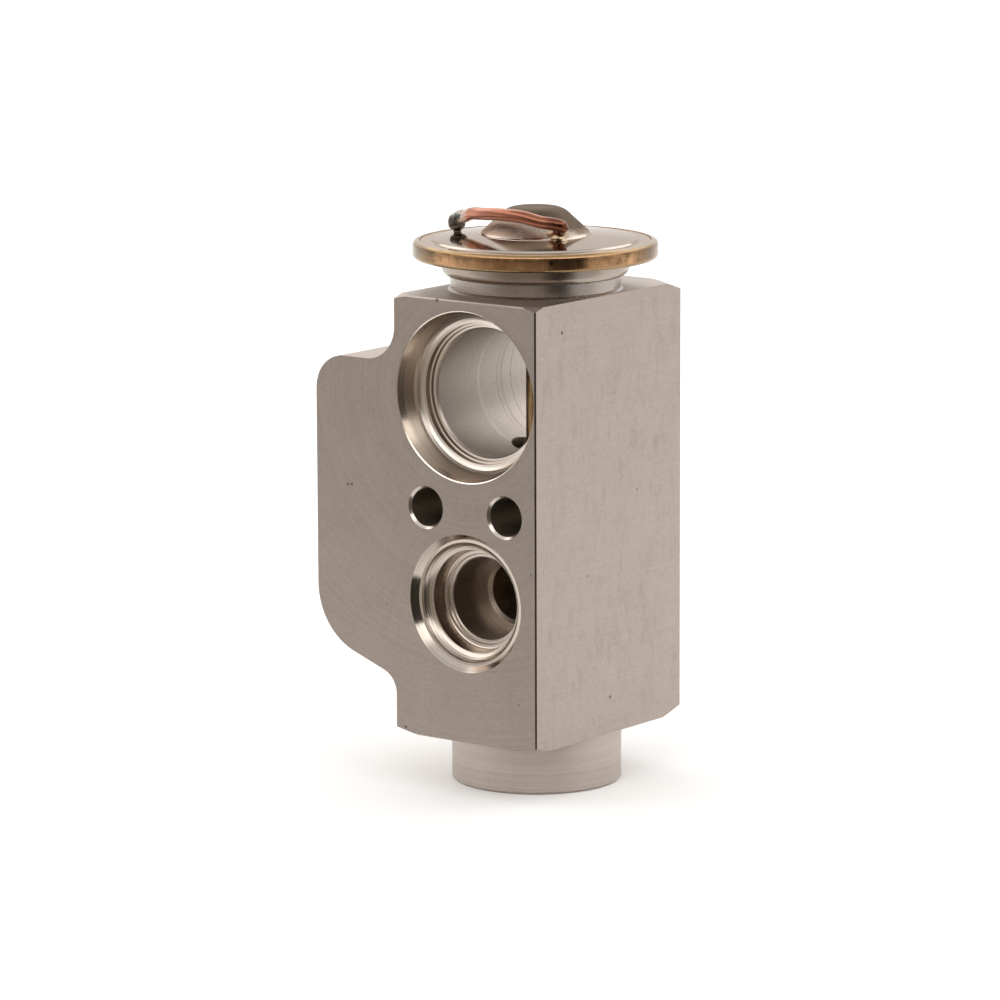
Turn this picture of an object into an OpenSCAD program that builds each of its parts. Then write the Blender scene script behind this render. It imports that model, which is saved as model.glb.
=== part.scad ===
// Block expansion valve: an extruded and machined block that carries a welded power head on top and an
// adjusting screw below. The valve axis is Z, the block's front port face looks towards -Y and its ear
// points towards -X. The origin is on the valve axis, in the plane that the bottom spigot stands on.

/* [Block] */
// Width of the column across its side faces
col_w = 25; // [25:0.5:28]
// Valve axis to the front port face
front_reach = 16.6; // [16:0.1:18]
// Valve axis to the rear port face
rear_reach = 18.1; // [17.6:0.1:20]
// Height of the block between its turned top and bottom faces
block_h = 63.2; // [63:0.2:66]
// Diameter of the turned spigot under the block
spigot_d = 24.4; // [22:0.1:24.8]
// Height of the turned spigot
spigot_h = 7.8; // [7:0.1:10]
// Diameter of the turned boss under the power head
boss_d = 24.3; // [23.4:0.1:24.8]
// Height of the turned boss
boss_h = 2; // [1.6:0.1:3]
// Size of the fillet at the foot of the boss
boss_fillet = 0.35; // [0.1:0.05:0.5]
// Diameter inside which the top face is flat
top_flat_d = 38.6; // [36:0.2:41]
// Fall of the turned cone outside the flat of the top face, in degrees
top_fall = 22; // [5:1:35]
// Diameter inside which the bottom face is flat
bottom_flat_d = 37.2; // [36:0.2:41]
// Rise of the turned cone outside the flat of the bottom face, in degrees
bottom_rise = 20; // [5:1:35]
// Width of the edge break along the straight edges of the two port faces
edge_break = 0.2; // [0.1:0.05:0.4]

/* [Ear] */
// Valve axis to the ear's outer face
ear_reach = 26.8; // [25:0.1:30]
// Top of the block down to the ear's top
ear_drop = 9.6; // [8:0.2:14]
// Radius of the ear's upper corner
ear_top_r = 5; // [2:0.5:6]
// Radius in the corner between the ear's top and the column
ear_top_fillet = 5; // [2:0.5:6]
// Top of the block down to the centre of the ear's lower round
ear_low_drop = 43; // [36:0.5:45]
// Radius of the ear's lower round
ear_low_r = 10; // [6:0.5:11]
// Slope of the ear's underside, in degrees
ear_slope = 20.3; // [10:0.5:30]
// Radius in the corner between the ear's underside and the column
ear_low_fillet = 3.5; // [1.5:0.5:5]

/* [Suction ports] */
// Top of the block down to the axis of the suction passage
suction_drop = 13.65; // [13.6:0.05:15]
// Diameter of the passage through the middle of the block
suction_mid_d = 17.8; // [16:0.1:17.8]
// Diameter of the pilot bore in each port
suction_bore_d = 18.2; // [18.1:0.1:18.8]
// Depth from the port face to the end of the pilot bore
suction_bore_depth = 12; // [9:0.1:12.5]
// Diameter of the port at its face
suction_rim_d = 24.5; // [24.2:0.1:25]

/* [Outlet port] */
// Bottom of the block up to the axis of the outlet port in the front face
outlet_rise = 20.1; // [19.8:0.1:20.6]
// Diameter of the outlet port at its face
outlet_rim_d = 19.8; // [19:0.1:20.2]
// Diameter of the outlet's pilot bore
outlet_bore_d = 11.9; // [10.5:0.1:12.4]
// Depth from the front face to the end of the outlet's pilot bore
outlet_bore_depth = 11.3; // [9:0.1:11.5]
// Diameter of the passage from the outlet to the valve axis
outlet_hole_d = 8.4; // [7:0.1:8.6]

/* [Inlet port] */
// Bottom of the block up to the axis of the inlet port in the rear face
inlet_rise = 9.1; // [8.8:0.1:9.6]
// Diameter of the inlet port at its face
inlet_rim_d = 15.6; // [14.6:0.1:16]
// Diameter of the inlet's pilot bore
inlet_bore_d = 8.6; // [7:0.1:9]
// Depth from the rear face to the end of the inlet's pilot bore
inlet_bore_depth = 10.3; // [8:0.1:10.6]
// Diameter of the passage from the inlet to the spring chamber
inlet_hole_d = 4.6; // [3.6:0.1:5]

/* [Bolt holes] */
// Distance between the two bolt holes
bolt_spacing = 14; // [12.5:0.1:15]
// Diameter of a bolt hole
bolt_d = 5.5; // [4.5:0.1:5.6]
// Top of the block down to the bolt holes
bolt_drop = 30; // [29.6:0.1:30.4]
// Chamfer at each end of a bolt hole
bolt_chamfer = 0.35; // [0.1:0.05:0.4]

/* [Power head] */
// Diameter of the head's thread in the block
head_thread_d = 18; // [17:0.1:18.4]
// Depth of the threaded bore below the top of the boss
head_thread_depth = 5.8; // [5:0.1:5.9]
// Diameter of the hole that joins the head to the suction passage
link_hole_d = 10; // [8:0.1:11]
// Bore of the lower cover's threaded neck
neck_bore_d = 12.8; // [10:0.1:13.4]
// Room between the diaphragm plate and the bowl of the lower cover
bowl_room = 0.95; // [0.6:0.05:1.2]
// Boss face up to the underside of the lower cover's flange
flange_z = 2.5; // [2.3:0.05:3]
// Thickness of the lower cover's sheet
lower_sheet = 1; // [0.8:0.05:1.2]
// Thickness of the upper cover's sheet
upper_sheet = 1.1; // [0.9:0.05:1.3]
// Thickness of the upper cover's pressed edge
upper_edge = 1.25; // [1.1:0.05:1.5]
// Diameter of the two covers under the weld
cover_d = 33; // [32:0.1:34]
// Reach of the weld bead beyond the covers
weld_reach = 0.95; // [0.6:0.05:1.1]
// Width of the covers' flat edge, from the weld in to the shallow cone
edge_w = 1.9; // [1.4:0.1:2.4]
// Height of the step at the edge of the shallow cone
cone_step = 0.25; // [0.1:0.05:0.4]
// Rise of the shallow cone up to the dome
cone_rise = 0.6; // [0.2:0.05:0.9]
// Radius that rounds the bead's edges
weld_round = 0.65; // [0.3:0.05:0.9]
// Diameter of the dome at its foot
dome_foot_d = 16.1; // [14:0.1:17]
// Height of the dome above its foot
dome_h = 3.9; // [3:0.05:5]
// Slope of the dome's flank, in degrees
dome_slope = 43; // [38:1:50]
// Radius that rounds the dome's top into its flank
dome_top_r = 3.2; // [1:0.1:3.6]
// Radius of the fillet at the dome's foot
dome_foot_r = 0.8; // [0.4:0.1:1.2]
// Thickness of the diaphragm
diaphragm_t = 0.2; // [0.1:0.02:0.3]
// Diameter of the diaphragm plate
plate_d = 22.8; // [20:0.1:23]
// Thickness of the diaphragm plate
plate_t = 1.5; // [1:0.05:1.55]
// Diameter of the four bleed holes in the diaphragm plate
bleed_d = 1.6; // [1:0.1:2.5]
// Diameter of the plate's hub
hub_d = 6.4; // [5:0.1:8]
// Length of the hub below the plate
hub_h = 2.8; // [2:0.1:3.5]

/* [Charge tube] */
// Outer diameter of the copper charge tube
tube_d = 1.8; // [1.4:0.05:2]
// Bore of the copper charge tube
tube_bore_d = 0.8; // [0.5:0.05:1]
// Diameter of the solder collar at the tube's foot
collar_d = 3.2; // [2.6:0.1:3.8]
// Height of the solder collar along the tube
collar_h = 0.75; // [0.4:0.05:1]
// Diameter of the lump that closes the tube's end
lump_d = 2.6; // [2.4:0.05:3]
// Height of the lump above the cover
lump_h = 3; // [2.8:0.05:3.2]
// Edge of the covers in to the lump
lump_in = 4.47; // [3.5:0.01:5.5]
// Direction of the lump, round the valve axis from +X
lump_turn = 195.4; // [185:1:205]

/* [Operating rod and its seal] */
// Diameter of the operating rod
rod_d = 2.8; // [2.4:0.05:3]
// Diameter of the rod's tip, which passes through the orifice
rod_tip_d = 2.2; // [1.6:0.05:2.3]
// Length of the rod's tip
rod_tip_l = 4.6; // [4:0.1:6]
// Radial running clearance round the rod
rod_clearance = 0.05; // [0.02:0.01:0.08]
// Bottom of the suction passage down to the floor of the seal's pocket
seal_pocket_depth = 4.8; // [4.4:0.1:6]
// Diameter of the upper pocket, which holds the washer, the retainer and the damper
pocket_d = 7; // [7:0.1:8.8]
// Cross-section of the rod's seal
rod_seal_t = 1.56; // [1.2:0.02:1.7]
// Thickness of the backing washer
washer_t = 0.6; // [0.4:0.05:0.8]
// Thickness of the toothed retainer
retainer_t = 0.4; // [0.3:0.05:0.6]
// Number of teeth on the retainer
retainer_teeth = 8; // [6:1:12]
// Height of the rod damper's leaf
damper_h = 1.6; // [1.2:0.1:1.8]
// Thickness of the rod damper's leaf
damper_t = 0.25; // [0.15:0.05:0.35]

/* [Valve] */
// Land between the inlet's passage and the underside of the seat insert
seat_land = 0.2; // [0.1:0.05:0.5]
// Height of the seat insert
seat_h = 3; // [2.6:0.1:3.2]
// Diameter of the seat insert
seat_d = 8; // [7:0.1:9]
// Diameter of the orifice
orifice_d = 4; // [3.4:0.05:4.1]
// Height of the conical seat below the orifice
seat_cone_h = 1; // [0.8:0.05:1.2]
// Half angle of the conical seat, in degrees
seat_half_angle = 30; // [25:1:35]
// Diameter of the ball
ball_d = 5; // [4.8:0.05:5.4]
// Travel of the ball from open to closed
stroke = 0.6; // [0.3:0.05:0.6]
// Diameter of the ball carrier's flange
carrier_d = 8.8; // [8:0.1:9.4]
// Thickness of the ball carrier's flange
carrier_flange = 1.3; // [0.8:0.1:1.6]
// Length of the carrier's stem
stem_l = 2.6; // [1.5:0.1:3]

/* [Spring and adjusting screw] */
// Mean diameter of the spring
spring_d = 6.8; // [6.6:0.05:7.1]
// Diameter of the spring wire
wire_d = 1.1; // [0.8:0.05:1.2]
// Number of the spring's turns
spring_turns = 4.5; // [3.5:0.5:5]
// Room round the spring in the screw's pocket and inside it round the carrier's stem
spring_room = 0.35; // [0.2:0.05:0.45]
// Diameter of the screw's thread in the spigot
screw_thread_d = 15.5; // [15:0.1:17]
// Travel of the screw each way from where it stands
screw_travel = 1; // [0.5:0.1:1.2]
// Base plane up to the screw's lower face
screw_recess = 1.6; // [1.5:0.1:2]
// Height of the screw's threaded head
screw_head_h = 4.4; // [4.2:0.1:4.5]
// Height of the screw's plug above its head
screw_plug_h = 5; // [4.4:0.1:5.2]
// Wall between the screw's pocket and the groove of its seal
plug_wall = 0.88; // [0.7:0.02:1]
// Depth of the screw's pocket for the spring
screw_pocket_depth = 4.8; // [3.5:0.1:5]
// Width across the flats of the screw's hexagon socket
socket_af = 8; // [6:0.5:9]
// Depth of the hexagon socket
socket_depth = 3.2; // [2.5:0.1:3.4]
// Cross-section of the screw's seal
screw_seal_t = 1.26; // [1.1:0.02:1.3]
// Radial running clearance round the screw
screw_clearance = 0.05; // [0.02:0.01:0.08]

/* [Hidden] */

$fn = 96;
eps = 0.01;
kiss = 0.01;
seat_gap = 0.02;

// Diameters and depth that follow the spring and the screw
screw_pocket_d = spring_d + wire_d + 2 * spring_room;
stem_d = spring_d - wire_d - 2 * spring_room;
chamber_d = screw_pocket_d + 2 * plug_wall + 2 * screw_seal_t + 0.12;
screw_thread_depth = screw_recess + screw_head_h + 1.5 * screw_travel;

// Heights of the block's planes and of the axes of its ports
block_z0 = spigot_h;
block_z1 = spigot_h + block_h;
boss_z = block_z1 + boss_h;
suction_z = block_z1 - suction_drop;
outlet_z = block_z0 + outlet_rise;
inlet_z = block_z0 + inlet_rise;
bolt_z = block_z1 - bolt_drop;
seat_z = inlet_z + inlet_hole_d / 2 + seat_land;
col_r = col_w / 2;
block_depth = front_reach + rear_reach;

// Ports as pairs of radius and depth, from the face inwards: rim chamfer, flared wall and rounded corner
// of the pocket for the line's O-ring, its flat floor, a stepped second wall, the lip of the pilot bore,
// and the soft taper to the passage
suction_r = suction_bore_d / 2;
suction_profile = [
    [suction_rim_d / 2, 0], [suction_rim_d / 2 - 0.15, 0.15], [suction_r + 2.2, 2.9], [suction_r + 2, 3.35],
    [suction_r + 1.75, 3.75], [suction_r + 1.4, 4.02], [suction_r + 1.05, 4.15], [suction_r + 0.92, 4.85],
    [suction_r + 0.68, 4.92], [suction_r + 0.55, 5.35], [suction_r + 0.25, 5.42], [suction_r, 5.8],
    [suction_r, suction_bore_depth], [suction_mid_d / 2 - 0.05, suction_bore_depth + 3]
];
outlet_profile = small_port(outlet_rim_d, outlet_bore_d, 1, outlet_bore_depth);
inlet_profile = small_port(inlet_rim_d, inlet_bore_d, 0.85, inlet_bore_depth);

// Cylindrical depth of the outlet's passage, from 1 inside its pilot bore to just past the valve axis
drill_depth = front_reach - outlet_bore_depth + outlet_hole_d / 2;

// Ear
ear_z1 = block_z1 - ear_drop;
ear_low_x = -ear_reach + ear_low_r;
ear_low_z = block_z1 - ear_low_drop;
under_x = ear_low_x - (ear_low_r - kiss) * sin(ear_slope);
under_z = ear_low_z - (ear_low_r - kiss) * cos(ear_slope);
root_z = under_z - (-col_r - under_x) * tan(ear_slope);
low_fillet_x = -col_r - ear_low_fillet;
low_fillet_z = root_z + ear_low_fillet * tan(ear_slope) - ear_low_fillet / cos(ear_slope);

// Bores on the valve axis
thread_z = boss_z - head_thread_depth;
passage_floor = suction_z - suction_mid_d / 2;
pocket_z = passage_floor - seal_pocket_depth;
washer_z = pocket_z + rod_seal_t + 0.1;
retainer_z = washer_z + washer_t;
damper_z = retainer_z + retainer_t + 0.1;
pocket_low_d = rod_d + 2 * rod_seal_t + 0.1;

// Power head
neck_d = head_thread_d - 0.1;
neck_z = thread_z + 0.4;
flange_z0 = boss_z + flange_z;
flange_z1 = flange_z0 + lower_sheet;
edge_z0 = flange_z1 + diaphragm_t;
edge_z1 = edge_z0 + upper_edge;
bowl_floor = boss_z + 1.2 * lower_sheet;
bowl_inner_r = plate_d / 2 + bowl_room;
cone_d = cover_d - 2 * edge_w;
cone_z = edge_z1 + cone_step;
dome_foot_z = cone_z + cone_rise;
dome_top_z = dome_foot_z + dome_h;
plate_z = bowl_floor + 0.1;
plate_top = plate_z + plate_t;
head_seal_t = 1.5;
head_groove_d = head_thread_d + 2 * head_seal_t + 0.1;

// The dome's outline in the half plane of its radius and height
flank_x0 = dome_foot_d / 2;
top_arc_z = dome_top_z - dome_top_r;
top_arc_x = flank_x0 - (dome_h - dome_top_r + dome_top_r * cos(dome_slope)) / tan(dome_slope)
    - dome_top_r * sin(dome_slope);
foot_arc_x = flank_x0 + dome_foot_r * tan(dome_slope / 2);
foot_arc_z = dome_foot_z + dome_foot_r;

// Foot of the charge tube on the dome's flank, and the direction in which it leaves
foot_turn = -27.3;
foot_up = 0.185 * dome_h;
foot_r = flank_x0 - foot_up / tan(dome_slope);
foot_point = [foot_r * cos(foot_turn), foot_r * sin(foot_turn), dome_foot_z + foot_up];
foot_tilt = dome_slope;
foot_dir = [
    sin(foot_tilt) * cos(foot_turn), sin(foot_tilt) * sin(foot_turn), cos(foot_tilt)
];

// The tube's route: its straight foot, the turn above the cover, the run in front of the dome and the
// straight end inside the lump. The run's points count in radii and heights of the dome
lump_at = (cover_d / 2 - lump_in) * [cos(lump_turn), sin(lump_turn)];
end_point = [lump_at.x, lump_at.y, dome_foot_z + 0.55 * lump_h];
end_dir = unit([-1.7, 0.5, -0.42]);
tube_route = concat(
    [for (d = [-0.55, 0, 0.6]) foot_point + d * tube_d * foot_dir],
    [
        for (p = [
            [0.975, -0.525, 0.51], [0.9, -0.64, 0.61], [0.69, -0.775, 0.69], [0.4, -0.86, 0.83],
            [-0.04, -0.86, 0.86], [-0.61, -0.7, 0.705]
        ]) [p.x * dome_foot_d / 2, p.y * dome_foot_d / 2, dome_foot_z + p.z * dome_h]
    ],
    [for (d = [-1.9, -1.1, 0]) end_point + d * tube_d * end_dir]
);
lump_r = norm(lump_at);
lump_seat = cone_z + cone_rise * (cone_d / 2 - lump_r) / (cone_d / 2 - flank_x0);

// Valve
seat_cone_top = seat_z + seat_cone_h;
contact_r = ball_d / 2 * cos(seat_half_angle);
ball_closed_z = seat_cone_top - (contact_r - orifice_d / 2) / tan(seat_half_angle)
    - ball_d / 2 * sin(seat_half_angle) - 2 * seat_gap;
ball_z = ball_closed_z - stroke;
carrier_z1 = ball_z - ball_d / 2 + 1.35;
carrier_z0 = carrier_z1 - carrier_flange;
rod_z0 = ball_z + ball_d / 2 + seat_gap;
rod_z1 = plate_z - 0.1;

// Adjusting screw
screw_z0 = screw_recess;
screw_z1 = screw_z0 + screw_head_h;
screw_z2 = screw_z1 + screw_plug_h;
pocket_floor = screw_z2 - screw_pocket_depth;
groove_w = screw_seal_t + 0.5;
groove_z = screw_z2 - 0.6 - groove_w;
spring_z0 = pocket_floor;
spring_z1 = carrier_z0;

// Port with a rim cone, a ledge, a tapered wall with a rounded corner, a second wall and a pilot bore.
// The sizes between the rim and the bore are in proportion to k
function small_port(rim_d, bore_d, k, depth) =
    let (r = bore_d / 2)
    [
        [rim_d / 2, 0], [r + 3.1 * k, k], [r + 2.7 * k, 1.05 * k], [r + 2.55 * k, 1.35 * k],
        [r + 2.32 * k, 1.68 * k], [r + 2.02 * k, 1.98 * k], [r + 1.7 * k, 2.2 * k], [r + 1.48 * k, 2.3 * k],
        [r + 1.15 * k, 4.4 * k], [r + k, 4.5 * k], [r + 0.62 * k, 4.55 * k], [r + 0.5 * k, 4.72 * k],
        [r + 0.14 * k, 4.76 * k], [r, 4.9 * k], [r, depth]
    ];

// Points of a circular arc, for outlines that turn from one slope into the next
function arc(cx, cy, r, a0, a1, n = 8) =
    [for (i = [0:n]) let (a = a0 + (a1 - a0) * i / n) [cx + r * cos(a), cy + r * sin(a)]];

// Point of a smooth curve through a list of points, where u runs from 0 to the last index
function smooth_point(pts, u) =
    let (
        last = len(pts) - 1,
        i = min(floor(u), last - 1),
        t = u - i,
        a = pts[max(i - 1, 0)],
        b = pts[i],
        c = pts[i + 1],
        d = pts[min(i + 2, last)]
    )
    0.5 * (2 * b + (c - a) * t + (2 * a - 5 * b + 4 * c - d) * t * t + (3 * b - a - 3 * c + d) * t * t * t);

function unit(v) = v / norm(v);

// Points of the rings of a round section, square to a path
function path_rings(path, r, sides) =
    let (last = len(path) - 1)
    [
        for (i = [0:last])
            let (
                dir = unit(path[min(i + 1, last)] - path[max(i - 1, 0)]),
                side = unit(cross(dir, abs(dir.z) < 0.95 ? [0, 0, 1] : [1, 0, 0])),
                up = cross(side, dir)
            )
            for (k = [0:sides - 1])
                path[i] + r * (cos(360 * k / sides) * side + sin(360 * k / sides) * up)
    ];

// Faces of the wall between rings, the first of which starts at the point given; turned inwards for a bore
function ring_walls(rings, sides, start = 0, inward = false) =
    [
        for (i = [0:rings - 2])
            for (k = [0:sides - 1])
                let (
                    a = start + i * sides + k,
                    b = start + i * sides + (k + 1) % sides
                )
                inward ? [a + sides, b + sides, b, a] : [a, b, b + sides, a + sides]
    ];

// Round bar along a path of points, with closed ends
module sweep_round(path, r, sides) {
    last = len(path) - 1;
    foot = [for (k = [sides - 1:-1:0]) k];
    head = [for (k = [0:sides - 1]) last * sides + k];
    polyhedron(
        path_rings(path, r, sides), concat([foot], ring_walls(last + 1, sides), [head]), convexity = 10
    );
}

// Round tube along a path of points, open at its foot, with its bore pinched shut before the far end
module sweep_tube(path, r, bore_r, sides, shut) {
    n = len(path);
    m = n - shut;
    inner = n * sides;
    bore_path = [for (i = [0:m - 1]) path[i]];
    mouth = [
        for (k = [0:sides - 1])
            [k, inner + k, inner + (k + 1) % sides, (k + 1) % sides]
    ];
    head = [for (k = [0:sides - 1]) (n - 1) * sides + k];
    bore_end = [for (k = [sides - 1:-1:0]) inner + (m - 1) * sides + k];
    polyhedron(
        concat(path_rings(path, r, sides), path_rings(bore_path, bore_r, sides)),
        concat(
            mouth, ring_walls(n, sides), [head], ring_walls(m, sides, inner, true), [bore_end]
        ),
        convexity = 10
    );
}

// Ring of round section about Z
module o_ring(mean_r, section_r, z) {
    translate([0, 0, z])
        rotate_extrude()
            translate([mean_r, 0])
                circle(section_r, $fn = 32);
}

// Washer or tube about Z
module ring(outer_r, inner_r, h) {
    difference() {
        cylinder(h = h, r = outer_r);
        translate([0, 0, -1])
            cylinder(h = h + 2, r = inner_r);
    }
}

// Half section of a stepped hole, turned about Y, with its mouth in the plane y = 0 and its depth to +Y
module port_cut(profile) {
    depth = profile[len(profile) - 1][1];
    rotate([-90, 0, 0])
        rotate_extrude()
            polygon(concat([[0, -1], [profile[0][0], -1]], profile, [[0, depth]]));
}

module cylinder_y(r, y0, y1) {
    translate([0, y0, 0])
        rotate([-90, 0, 0])
            cylinder(h = y1 - y0, r = r);
}

// Outline of the extruded bar, in the plane of X and height
module bar_outline() {
    translate([-col_r, block_z0 - 1])
        square([col_w, block_h + 2]);
    // ear between its two rounds
    translate([-ear_reach, ear_low_z])
        square([ear_reach - col_r + 1, ear_z1 - ear_top_r - ear_low_z]);
    translate([-ear_reach + ear_top_r, ear_z1 - ear_top_r - 1])
        square([ear_reach - col_r - ear_top_r + 1, ear_top_r + 1]);
    translate([-ear_reach + ear_top_r, ear_z1 - ear_top_r])
        circle(ear_top_r);
    translate([ear_low_x, ear_low_z])
        circle(ear_low_r);
    polygon([
        [ear_low_x, ear_low_z + 1], [under_x, under_z], [-col_r + 1, root_z - tan(ear_slope)],
        [-col_r + 1, ear_low_z + 1]
    ]);
    // fillets where the ear meets the column
    difference() {
        translate([-col_r - ear_top_fillet, ear_z1 - 1])
            square([ear_top_fillet + 1, ear_top_fillet + 1]);
        translate([-col_r - ear_top_fillet, ear_z1 + ear_top_fillet])
            circle(ear_top_fillet);
    }
    difference() {
        polygon([
            [low_fillet_x, low_fillet_z],
            [low_fillet_x + ear_low_fillet * sin(ear_slope), low_fillet_z + ear_low_fillet * cos(ear_slope)],
            [-col_r + 0.5, root_z + 0.5], [-col_r + 0.5, low_fillet_z]
        ]);
        translate([low_fillet_x, low_fillet_z])
            circle(ear_low_fillet + kiss);
    }
}

// Space between the turned faces at the block's two ends, which fall away as cones near the corners
module turned_ends() {
    far = 60;
    rotate_extrude()
        polygon([
            [0, block_z0], [bottom_flat_d / 2, block_z0],
            [far, block_z0 + (far - bottom_flat_d / 2) * tan(bottom_rise)],
            [far, block_z1 - (far - top_flat_d / 2) * tan(top_fall)], [top_flat_d / 2, block_z1],
            [0, block_z1]
        ]);
}

// Bar with one face square to its local X axis, which takes a corner at the origin off
module corner_cut(l) {
    translate([-edge_break / sqrt(2), -2, 0])
        cube([3, 4, l]);
}

module edge_breaks() {
    for (side = [-1, 1]) {
        y = side < 0 ? -front_reach : rear_reach;
        translate([col_r, y, block_z0 - 1])
            rotate([0, 0, 45 * side])
                corner_cut(block_h + 2);
        for (end = [-1, 1])
            translate([-col_r - 1, y, end < 0 ? block_z0 : block_z1])
                rotate([atan2(end, side), 0, 0])
                    rotate([90, 0, 90])
                        corner_cut(col_w + 2);
    }
}

module power_head_bore() {
    translate([0, 0, thread_z])
        cylinder(h = head_thread_depth + 1, d = head_thread_d);
    translate([0, 0, suction_z])
        cylinder(h = thread_z - suction_z + 1, d = link_hole_d);
    // counterbore for the head's seal
    translate([0, 0, boss_z - head_seal_t - 0.05])
        cylinder(h = head_seal_t + 1, d = head_groove_d);
}

module rod_bore() {
    translate([0, 0, outlet_z])
        cylinder(h = suction_z - outlet_z, r = rod_d / 2 + rod_clearance);
    translate([0, 0, pocket_z])
        cylinder(h = suction_z - pocket_z, d = pocket_low_d);
    translate([0, 0, washer_z])
        cylinder(h = suction_z - washer_z, d = pocket_d);
}

module valve_bore() {
    // hole between the seat and the outlet passage
    translate([0, 0, seat_z])
        cylinder(h = outlet_z - seat_z, d = seat_d - 2.2);
    translate([0, 0, seat_z - 1])
        cylinder(h = seat_h + 1, d = seat_d);
    translate([0, 0, screw_thread_depth - 1])
        cylinder(h = seat_z - screw_thread_depth + 1, d = chamber_d);
    translate([0, 0, -1])
        cylinder(h = screw_thread_depth + 1, r = screw_thread_d / 2 + screw_clearance);
    // lead-in at the mouth
    translate([0, 0, -eps])
        cylinder(h = 0.6, r1 = screw_thread_d / 2 + 0.65, r2 = screw_thread_d / 2 + screw_clearance);
}

module port_holes() {
    for (side = [-1, 1]) {
        reach = side < 0 ? front_reach : rear_reach;
        translate([0, side * reach, suction_z])
            rotate([0, 0, side < 0 ? 0 : 180])
                port_cut(suction_profile);
        for (x = [-1, 1])
            translate([x * bolt_spacing / 2, side * reach, bolt_z])
                rotate([0, 0, side < 0 ? 0 : 180])
                    port_cut([[bolt_d / 2 + bolt_chamfer, 0], [bolt_d / 2, bolt_chamfer], [bolt_d / 2, 1]]);
    }
    translate([0, 0, suction_z])
        cylinder_y(suction_mid_d / 2, -front_reach + 6, rear_reach - 6);
    for (x = [-1, 1])
        translate([x * bolt_spacing / 2, 0, bolt_z])
            cylinder_y(bolt_d / 2, -front_reach - 1, rear_reach + 1);
    translate([0, -front_reach, outlet_z])
        port_cut(outlet_profile);
    // the drilled passage ends in the drill's cone, behind the valve axis
    translate([0, -front_reach + outlet_bore_depth - 1, outlet_z])
        port_cut([
            [outlet_hole_d / 2, 0], [outlet_hole_d / 2, drill_depth],
            [0.3, drill_depth + (outlet_hole_d / 2 - 0.3) * tan(31)]
        ]);
    // chamfer at the passage's mouth
    translate([0, -front_reach + outlet_bore_depth, outlet_z])
        port_cut([[outlet_hole_d / 2 + 0.5, 0], [outlet_hole_d / 2, 0.5]]);
    translate([0, rear_reach, inlet_z])
        rotate([0, 0, 180])
            port_cut(inlet_profile);
    translate([0, 0, inlet_z])
        cylinder_y(inlet_hole_d / 2, chamber_d / 2 - 2, rear_reach - inlet_bore_depth + 1);
}

module valve_block() {
    color("#9d9389")
        difference() {
            union() {
                intersection() {
                    translate([0, rear_reach, 0])
                        rotate([90, 0, 0])
                            linear_extrude(block_depth)
                                bar_outline();
                    turned_ends();
                }
                cylinder(h = spigot_h + 1, d = spigot_d);
                translate([0, 0, block_z1 - 1])
                    cylinder(h = boss_h + 1, d = boss_d);
                translate([0, 0, block_z1])
                    cylinder(h = boss_fillet, r1 = boss_d / 2 + boss_fillet, r2 = boss_d / 2);
            }
            edge_breaks();
            port_holes();
            power_head_bore();
            rod_bore();
            valve_bore();
            // edge break at the foot of the spigot
            rotate_extrude()
                polygon([
                    [spigot_d / 2 - 0.35, -1], [spigot_d / 2 + 1, -1], [spigot_d / 2 + 1, 0.35],
                    [spigot_d / 2, 0.35], [spigot_d / 2 - 0.35, 0]
                ]);
        }
}

// Upper surface of the upper cover, as a solid down to the height given
module cover_form(bottom_z) {
    rotate_extrude()
        polygon(concat(
            [[0, bottom_z], [cover_d / 2, bottom_z], [cover_d / 2, edge_z1 - 0.1], [cover_d / 2 - 0.2, edge_z1]],
            [[cone_d / 2 + 0.35, edge_z1], [cone_d / 2, cone_z]],
            arc(foot_arc_x, foot_arc_z, dome_foot_r, 270, 270 - dome_slope, 4),
            arc(top_arc_x, top_arc_z, dome_top_r, 90 - dome_slope, 90, 6),
            [[0, dome_top_z]]
        ));
}

// Space under the upper cover: the same form, one sheet lower
module cover_hollow() {
    inner_x = flank_x0 - upper_sheet * tan(dome_slope / 2);
    inner_r = max(dome_top_r - upper_sheet, 0.3);
    rotate_extrude()
        polygon(concat(
            [[0, edge_z0 - 1], [cone_d / 2 - 1.1, edge_z0 - 1], [cone_d / 2 - 1.1, edge_z0]],
            [[cone_d / 2 - 1.6, cone_z - upper_sheet], [inner_x, dome_foot_z - upper_sheet]],
            arc(top_arc_x, top_arc_z, inner_r, 90 - dome_slope, 90, 6),
            [[0, top_arc_z + inner_r]]
        ));
}

// Straight foot of the charge tube, as a bar of the radius given
module tube_foot_bar(r, from, to) {
    translate(foot_point)
        rotate([0, 0, foot_turn])
            rotate([0, foot_tilt, 0])
                translate([0, 0, from])
                    cylinder(h = to - from, r = r);
}

module upper_cover() {
    color("#c9c5c0")
        difference() {
            cover_form(edge_z0);
            cover_hollow();
            tube_foot_bar(tube_d / 2 + 0.02, -3, 4);
        }
}

module lower_cover() {
    flange_r = cover_d / 2;
    bowl_r = bowl_inner_r + lower_sheet;
    round_r = 1.2 * lower_sheet;
    neck_r = neck_d / 2;
    bore_r = neck_bore_d / 2;
    color("#b5b0aa")
        rotate_extrude()
            polygon(concat(
                [[bore_r, neck_z], [neck_r - 0.3, neck_z], [neck_r, neck_z + 0.3], [neck_r, boss_z]],
                arc(bowl_r - round_r, boss_z + round_r, round_r, -90, 0, 6),
                [
                    [bowl_r, flange_z0 - 0.5], [bowl_r + 0.15, flange_z0 - 0.15], [bowl_r + 0.5, flange_z0],
                    [flange_r, flange_z0], [flange_r, flange_z1], [bowl_inner_r + 0.6, flange_z1],
                    [bowl_inner_r, flange_z1 - 0.6], [bowl_inner_r, bowl_floor + 0.5],
                    [bowl_inner_r - 0.5, bowl_floor], [bore_r, bowl_floor]
                ]
            ));
}

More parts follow.
